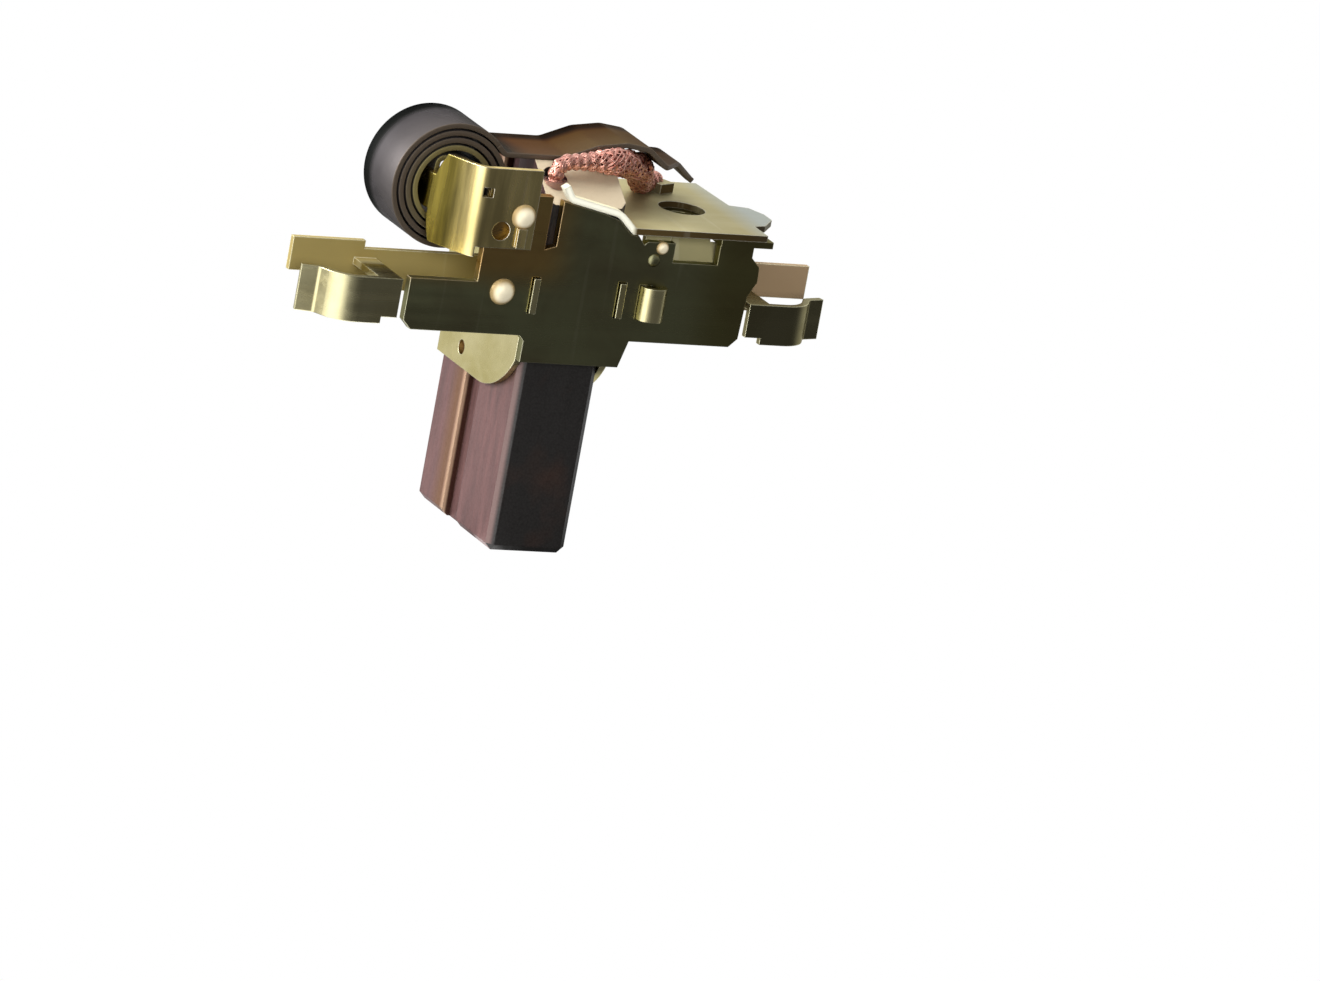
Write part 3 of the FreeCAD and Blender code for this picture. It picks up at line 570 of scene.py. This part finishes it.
gap = np.linalg.norm(np.diff(strip_line, axis=0), axis=1)
strip_line = strip_line[np.concatenate([[True], gap > SAME_POINT])]
strip_run = run_along(strip_line)
print("strip length %.1f mm in %d points" % (strip_run[-1], len(strip_line)))

# %% [markdown]
# The section is swept with the path's own normal. It is a rectangle with rounded corners: each point is a
# corner of the inner rectangle plus a step of the corner's radius. The roll stays with the holder and
# the arm bends between the holder and the brush, so the strip is made in two lengths that meet where the
# arm leaves the roll.

# %% Spring mesh
CORNER = 0.09
TAPER_START, TAPER_END = 7.3, 11.6
TIP_EDGE, TIP_LIMIT = 1.5, 1.55
TAPER_LEAD = 0.2
ARM_RUN = 12.0
RIM_DEPTH, RIM_FADE = 0.12, 0.08
tangent = unit(np.gradient(strip_line, axis=0))
normal = np.stack([-tangent[:, 1], tangent[:, 0]], 1)
slope = (TIP_EDGE + WIDTH / 2 + TAPER_LEAD) / (TAPER_END - TAPER_START)
tapered = (strip_line[:, 0] - TAPER_START) * slope - WIDTH / 2 - TAPER_LEAD
front_edge = np.where(strip_run < ARM_RUN, np.clip(tapered, -WIDTH / 2, TIP_LIMIT), -WIDTH / 2)
middle = (front_edge + WIDTH / 2) / 2
half = (WIDTH / 2 - front_edge) / 2
angles = np.concatenate([np.linspace(0, math.pi / 2, 4) + quarter * math.pi / 2 for quarter in range(4)])
sign_across = np.repeat([1, -1, -1, 1], 4)
sign_up = np.repeat([1, 1, -1, -1], 4)
across = middle[:, None] + sign_across * (half[:, None] - CORNER) + CORNER * np.cos(angles)
up = sign_up * (STRIP / 2 - CORNER) + CORNER * np.sin(angles)
section = strip_line[:, None, :] + normal[:, None, :] * up[None, :, None]
strip_points = np.stack([section[..., 0], across, section[..., 1]], -1)
front_rim = np.clip((middle[:, None] - across - half[:, None] + RIM_DEPTH) / RIM_FADE, 0, 1)


def strip_piece(name, rows):
    """One length of the strip, with its run and its front rim as point values."""
    points = strip_points[rows]
    made = mesh_object(name, points.reshape(-1, 3), *tube_faces(*points.shape[:2]))
    point_values(made, "run", np.repeat(strip_run[rows], points.shape[1]))
    point_values(made, "front_rim", front_rim[rows])
    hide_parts("pressure_spring")
    print(name, "faces", len(made.data.polygons))
    return made


parting = int(np.argmin(np.hypot(*(strip_line - touch).T)))
spring_arm = strip_piece("spring_arm", slice(0, parting + 1))
spring_roll = strip_piece("spring_roll", slice(parting, None))
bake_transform(spring_arm)
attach(spring_roll, "holder")

# %% [markdown]
# Hardened strip keeps a temper film. The roll is grey with a mauve tinge and a dark band along its rear
# edge. The arm is brown and its tip is darker still. Point attributes say how far along the strip a point
# lies and whether it is on the sheared front edge.

# %% Spring material
temper, tree, surface = principled("spring_steel")
run = attribute(tree, "run")
front_rim_mask = attribute(tree, "front_rim")
grazing = mix(tree, span(tree, run, 17.0, 19.0), (0.35, 0.27, 0.20), (0.10, 0.11, 0.10))
put(tree, grazing, surface.inputs["Specular Tint"])
shifted = calc(tree, "MULTIPLY_ADD", noise(tree, 300.0, Detail=3.0), 3.0, run)
colour = ramp(
    tree,
    span(tree, shifted, 0.0, 40.0),
    (0.0, (0.045, 0.045, 0.03)),
    (0.14, (0.07, 0.055, 0.03)),
    (0.24, (0.135, 0.095, 0.038)),
    (0.44, (0.170, 0.090, 0.037)),
    (0.49, (0.050, 0.048, 0.040)),
    (0.55, (0.056, 0.056, 0.050)),
    (0.61, (0.150, 0.140, 0.146)),
    (1.0, (0.165, 0.155, 0.162)),
)
rear_band = calc(tree, "MULTIPLY", span(tree, parts(tree)["Y"], 0.9 * MM, 1.7 * MM), 0.9)
colour = mix(tree, rear_band, colour, (0.018, 0.022, 0.020))
inner_turns = span(tree, run, 75.0, 100.0)
sheared = mix(tree, inner_turns, (0.090, 0.070, 0.052), (0.190, 0.160, 0.065))
put(tree, mix(tree, front_rim_mask, colour, sheared), surface.inputs["Base Color"])
put(tree, span(tree, front_rim_mask, 0.0, 1.0, 1.0, 0.35), surface.inputs["Metallic"])
sheet = node(tree, "ShaderNodeGroup", node_tree=sheet_tree)
sheet.inputs["Line Scale"].default_value = 1200.0
sheet.inputs["Cloud Scale"].default_value = 200.0
put(tree, span(tree, sheet.outputs["Clouds"], 0.3, 0.7, 0.34, 0.52), surface.inputs["Roughness"])
bumpy(tree, sheet.outputs["Lines"], 0.15)
for piece in (spring_arm, spring_roll):
    piece.data.materials.append(temper)
print("material", temper.name)

# %% [markdown]
# ## Braided lead
# The lead is a tubular braid of bare copper. Its carriers run round the centre line as left and right
# helices that pass over and under each other: radius = base + lift * cos(crossing angle). Each carrier
# is a flat bundle of wires side by side. Towards the terminal the braid opens and spreads, as shown.

# %% Braid path
PLUG = (-2.0, -4.1)
TERMINAL_TOP = 25.15
LEAD_RADIUS = 0.65
LEAD_STEP = 0.07
guide = [
    (*PLUG, 26.2),
    (*PLUG, 28.9),
    (2.6, -3.8, 29.15),
    (6.4, -0.4, 27.9),
    (8.2, 2.7, TERMINAL_TOP + LEAD_RADIUS),
    (10.1, 4.0, TERMINAL_TOP + LEAD_RADIUS),
]
bends = rounded_line(guide, [1.0, 2.4, 2.4, 1.6], 0.06)
bends_run = run_along(bends)
lead_run = np.arange(0, bends_run[-1], LEAD_STEP)
lead_line = np.stack([np.interp(lead_run, bends_run, axis) for axis in bends.T], 1)
print("lead length %.2f mm" % lead_run[-1])

# %% [markdown]
# Each point of the line needs a side vector: it is one fixed direction with its part along the line's
# heading taken out, which works because the lead never runs along that direction. The wires are placed
# by an angle from the side vector. Random draws let them stray a little and loosen where the braid opens.

# %% Braid mesh
CARRIERS = 7
WIRES = 4
WIRE = 0.062
WIRE_GAP = 0.165
LAY = 4.6
LIFT = 0.055
STRAY = 0.06
ROUND = 6
OPENS_FROM, OPENS_OVER = 3.5, 4.5
CLOSES_FROM, CLOSES_OVER, CLOSES_BY = 14.0, 3.5, 0.75
WIDER_BY = 0.72
ON_PLATE_FROM = 12.5
ANYWHERE = -99
FIXED = np.array([0.35, -0.9, 0.0]) / np.linalg.norm([0.35, -0.9, 0.0])
heading = unit(np.gradient(lead_line, axis=0))
side = unit(FIXED - (heading @ FIXED)[:, None] * heading)
over = np.cross(heading, side)
rise = np.clip((lead_run - OPENS_FROM) / OPENS_OVER, 0, 1)
fall = np.clip((lead_run - CLOSES_FROM) / CLOSES_OVER, 0, 1)
open_up = rise * rise * (3 - 2 * rise) * (1 - CLOSES_BY * fall)
spread = 1 + WIDER_BY * open_up
lowest = np.where(lead_run > ON_PLATE_FROM, TERMINAL_TOP + WIRE, ANYWHERE)
turns = 2 * math.pi * lead_run / LAY
rng = np.random.default_rng(7)


def tube(line, radius, one, other):
    """Rings of points: line + radius * (one * cos(a) + other * sin(a))."""
    a = np.linspace(0, 2 * math.pi, ROUND, endpoint=False)[None, :, None]
    return line[:, None, :] + radius * (one[:, None, :] * np.cos(a) + other[:, None, :] * np.sin(a))


def wire_tube(hand, phase, offset):
    """Tube of one wire: angle = hand * turns + phase + offset, distance = base + lift * cos(crossing)."""
    stray = rng.normal(0, STRAY) * (1 + 4 * open_up) * np.sin(lead_run * rng.uniform(0.8, 1.6) + phase)
    theta = hand * turns + phase + offset + stray
    lift = LIFT * np.cos(CARRIERS * turns + hand * math.pi / 2 + phase * CARRIERS) * hand
    loose = rng.normal(0, STRAY) * open_up * np.sin(lead_run * rng.uniform(1.2, 2.6) + 2 * phase)
    distance = (LEAD_RADIUS - 2.2 * WIRE + lift) * spread * (1 + loose)
    line = lead_line + side * (distance * np.cos(theta))[:, None] + over * (distance * np.sin(theta))[:, None]
    line[:, 2] = np.maximum(line[:, 2], lowest)
    along = unit(np.gradient(line, axis=0))
    out = line - lead_line
    out -= np.sum(out * along, 1)[:, None] * along
    out /= np.linalg.norm(out, axis=1)[:, None] + 1e-9
    return tube(line, WIRE, out, np.cross(along, out))


tubes, tints = [], []
for hand in (1, -1):
    for carrier in range(CARRIERS):
        for wire in range(WIRES):
            offset = (wire - (WIRES - 1) / 2) * WIRE_GAP
            tubes.append(wire_tube(hand, 2 * math.pi * carrier / CARRIERS, offset))
            tints.append(rng.uniform(0, 1))
core_radius = (LEAD_RADIUS - 4.2 * WIRE) * (1 + 0.5 * open_up)
tubes.append(tube(lead_line, core_radius[:, None, None], side, over))
tints.append(0.0)
per_tube = len(lead_line) * ROUND
loops, counts = tube_faces(len(lead_line), ROUND)
first = np.arange(len(tubes))[:, None] * per_tube
braid = mesh_object(
    "braided_lead", np.concatenate(tubes).reshape(-1, 3), (loops + first).ravel(), np.tile(counts, len(tubes))
)
point_values(braid, "tint", np.repeat(tints, per_tube))
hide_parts("copper_shunt")
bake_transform(braid)
print("braid faces", len(braid.data.polygons))

# %% [markdown]
# Bare copper differs from wire to wire, so each wire has its own tint value. The plug in the brush head
# is tamped copper powder and takes a rougher version of the same colour.

# %% Copper materials


def copper_material(name, light, deep, roughness, tint_name=None):
    """Copper between two tones, chosen by a fine noise, or by a point attribute and the noise."""
    material, tree, surface = principled(name)
    surface.inputs["Metallic"].default_value = 1.0
    speckle = noise(tree, 2600.0, Detail=4.0)
    share = speckle
    if tint_name:
        fine = calc(tree, "MULTIPLY", speckle, 0.4)
        share = calc(tree, "MULTIPLY_ADD", attribute(tree, tint_name), 0.7, fine)
    put(tree, mix(tree, share, deep, light), surface.inputs["Base Color"])
    put(tree, span(tree, speckle, 0.3, 0.7, roughness - 0.08, roughness + 0.08), surface.inputs["Roughness"])
    bumpy(tree, speckle, 0.3)
    return material


copper = copper_material("copper_wire", (0.96, 0.56, 0.46), (0.56, 0.20, 0.15), 0.32, "tint")
powder = copper_material("copper_powder", (0.62, 0.40, 0.33), (0.40, 0.22, 0.18), 0.6)
braid.data.materials.append(copper)
print("materials", copper.name, powder.name)

# %% [markdown]
# ## Materials on the CAD pieces
# The CAD meshes keep their shape and get the materials by node name.

# %% Assign materials
looks = {
    "carbon_brush": graphite,
    "shunt_plug": powder,
    "lead_weld": tin,
    "brush_channel": brass,
    "front_plate": plate_brass,
    "ear_spring_left": left_ear,
    "ear_spring_right": right_ear,
    "spring_bracket": bracket_brass,
    "terminal_plate": tin,
    "ear_rivet": rivet,
    "bracket_rivet": rivet,
    "terminal_stake_upper": rivet,
    "terminal_stake_lower": plate_brass,
}
for name, material in looks.items():
    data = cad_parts[name].data
    data.materials.clear()
    data.materials.append(material)
print("painted", len(looks))

# %% [markdown]
# ## Stage, light and camera
# The part stands on a plain floor. What metal sees of the room is a glow that depends on the compass
# direction: dark at the right front, as if a low dark wall stood there, brightest at the left, and bright
# behind. One node group gives it for the sky and for the floor.

# %% Room glow
DARK_LEVEL = 0.11
REAR_LEAST = 0.35
BRIGHT_GAIN = 2.0
glow_tree, given, result = group("room_glow", [("Direction", None)], [("Level", "NodeSocketFloat")])
direction = given.outputs["Direction"]
compass = vector(glow_tree, "NORMALIZE", vector(glow_tree, "MULTIPLY", direction, (1, 1, 0)))
split = node(glow_tree, "ShaderNodeSeparateXYZ")
put(glow_tree, vector(glow_tree, "NORMALIZE", direction), split.inputs[0])


def glow_side(towards, low, high):
    """Mask of one side of the room: span of dot(compass, towards) from low to high."""
    return span(glow_tree, vector(glow_tree, "DOT_PRODUCT", compass, towards), low, high)


not_steep = span(glow_tree, split.outputs["Z"], 0.20, 0.50, 1.0, 0.0)
dark = calc(glow_tree, "MULTIPLY", glow_side((0.574, -0.819, 0), 0.55, 0.82), not_steep)
rear = span(glow_tree, glow_side((0.3, 0.954, 0), -0.25, 0.80), 0.0, 1.0, REAR_LEAST, 1.0)
lit = calc(glow_tree, "MULTIPLY_ADD", glow_side((-0.883, -0.469, 0), 0.83, 0.98), BRIGHT_GAIN, rear)
put(glow_tree, mix_value(glow_tree, dark, lit, DARK_LEVEL), result.inputs["Level"])
print("group", glow_tree.name)

# %% [markdown]
# The floor is white to the camera and shows metal the glow of the side it lies on, so its emission is
# chosen by the kind of ray. To any other ray it is plain grey paper.

# %% Floor
REACH = 900
BELOW = 0.02 * MM
corners = [(-REACH, -REACH, 0), (REACH, -REACH, 0), (REACH, REACH, 0), (-REACH, REACH, 0)]
floor = mesh_object("floor", corners, [0, 1, 2, 3], [4], False)
floor.location.z = -BELOW
paper, tree, surface = principled("paper")
surface.inputs["Base Color"].default_value = (0.25, 0.25, 0.25, 1)
surface.inputs["Roughness"].default_value = 0.9
rays = node(tree, "ShaderNodeLightPath").outputs
position = node(tree, "ShaderNodeNewGeometry").outputs["Position"]
room = node(tree, "ShaderNodeGroup", node_tree=glow_tree)
put(tree, vector(tree, "SUBTRACT", position, (0, -3 * MM, 0)), room.inputs[0])
glow = node(tree, "ShaderNodeEmission", Color=(1, 1, 1, 1))
put(tree, mix_value(tree, rays["Is Camera Ray"], room.outputs[0], 1.0), glow.inputs["Strength"])
choose = node(tree, "ShaderNodeMixShader")
put(tree, calc(tree, "MAXIMUM", rays["Is Camera Ray"], rays["Is Glossy Ray"]), choose.inputs[0])
join(tree, surface, 0, choose, 1)
join(tree, glow, 0, choose, 2)
join(tree, choose, 0, tree.nodes["Material Output"], 0)
floor.data.materials.append(paper)
print("floor ready")

# %% [markdown]
# Four soft lamps light the part, of which metal mirrors only the key lamp. The sky is white to the
# camera, gives metal the room glow, and lights the rest with a glow that is strongest at the upper left.

# %% Lights


def area(name, place, target, width, height, power, mirrored=True):
    """Rectangular soft light at a place in metres that faces a target."""
    lamp = bpy.data.lights.new(name, "AREA")
    lamp.shape = "RECTANGLE"
    lamp.size, lamp.size_y, lamp.energy = width, height, power
    made = bpy.data.objects.new(name, lamp)
    bpy.context.scene.collection.objects.link(made)
    made.location = place
    made.visible_glossy = mirrored
    made.rotation_euler = (Vector(target) - Vector(place)).to_track_quat("-Z", "Y").to_euler()


area("key", (-0.42, 0.10, 0.16), (0, 0, 0.015), 0.30, 0.22, 3.0)
area("top", (-0.05, 0.02, 0.50), (0, 0, 0.015), 0.4, 0.4, 2.5, mirrored=False)
area("back", (0.25, 0.40, 0.30), (0, 0, 0.015), 0.35, 0.25, 1.0, mirrored=False)
area("front", (-0.10, -0.55, 0.20), (0, 0, 0.02), 0.30, 0.30, 2.5, mirrored=False)

world = bpy.data.worlds.new("studio")
bpy.context.scene.world = world
world.use_nodes = True
tree = world.node_tree
background = tree.nodes["Background"]
background.inputs["Color"].default_value = (1, 1, 1, 1)
rays = node(tree, "ShaderNodeLightPath").outputs
direction = node(tree, "ShaderNodeTexCoord").outputs["Generated"]
room = node(tree, "ShaderNodeGroup", node_tree=glow_tree)
put(tree, direction, room.inputs[0])
soft = span(tree, vector(tree, "DOT_PRODUCT", direction, (-0.75, 0.55, 0.36)), 0.05, 0.95, 0.03, 1.1)
sky = mix_value(tree, rays["Is Glossy Ray"], soft, room.outputs[0])
plain = calc(tree, "MAXIMUM", rays["Is Camera Ray"], rays["Is Transmission Ray"])
put(tree, mix_value(tree, plain, sky, 1.0), background.inputs["Strength"])
print("lights ready")

# %% [markdown]
# The camera stands about 27 degrees to the left of the front and 15 degrees above it, rolled by about
# ten degrees, and is far away with a long lens, because the photograph shows next to no perspective.

# %% Camera
WIDE, HIGH = 1320.0, 981.0
AIM_ACROSS, AIM_DOWN = 543.4, 312.1
SCALE = 13795.0
DISTANCE = 1.2
SENSOR = 36.0
right = Vector((0.8985, -0.4029, 0.1746)).normalized()
down = Vector((0.0468, -0.3075, -0.9507)).normalized()
back = right.cross(-down).normalized()
aim_at = Vector((0, -0.002, 0.017))
offset = right * ((WIDE / 2 - AIM_ACROSS) / SCALE) + down * ((HIGH / 2 - AIM_DOWN) / SCALE)
camera = bpy.data.cameras.new("camera")
camera.sensor_width = SENSOR
camera.lens = SCALE * DISTANCE / WIDE * SENSOR
camera.clip_start, camera.clip_end = 0.05, 10.0
viewer = bpy.data.objects.new("camera", camera)
bpy.context.scene.collection.objects.link(viewer)
turn = Matrix((right, -down, back)).transposed()
viewer.matrix_world = Matrix.Translation(aim_at + offset + back * DISTANCE) @ turn.to_4x4()
bpy.context.scene.camera = viewer
bpy.context.scene.view_settings.view_transform = "Standard"
print("lens %.0f mm" % camera.lens)
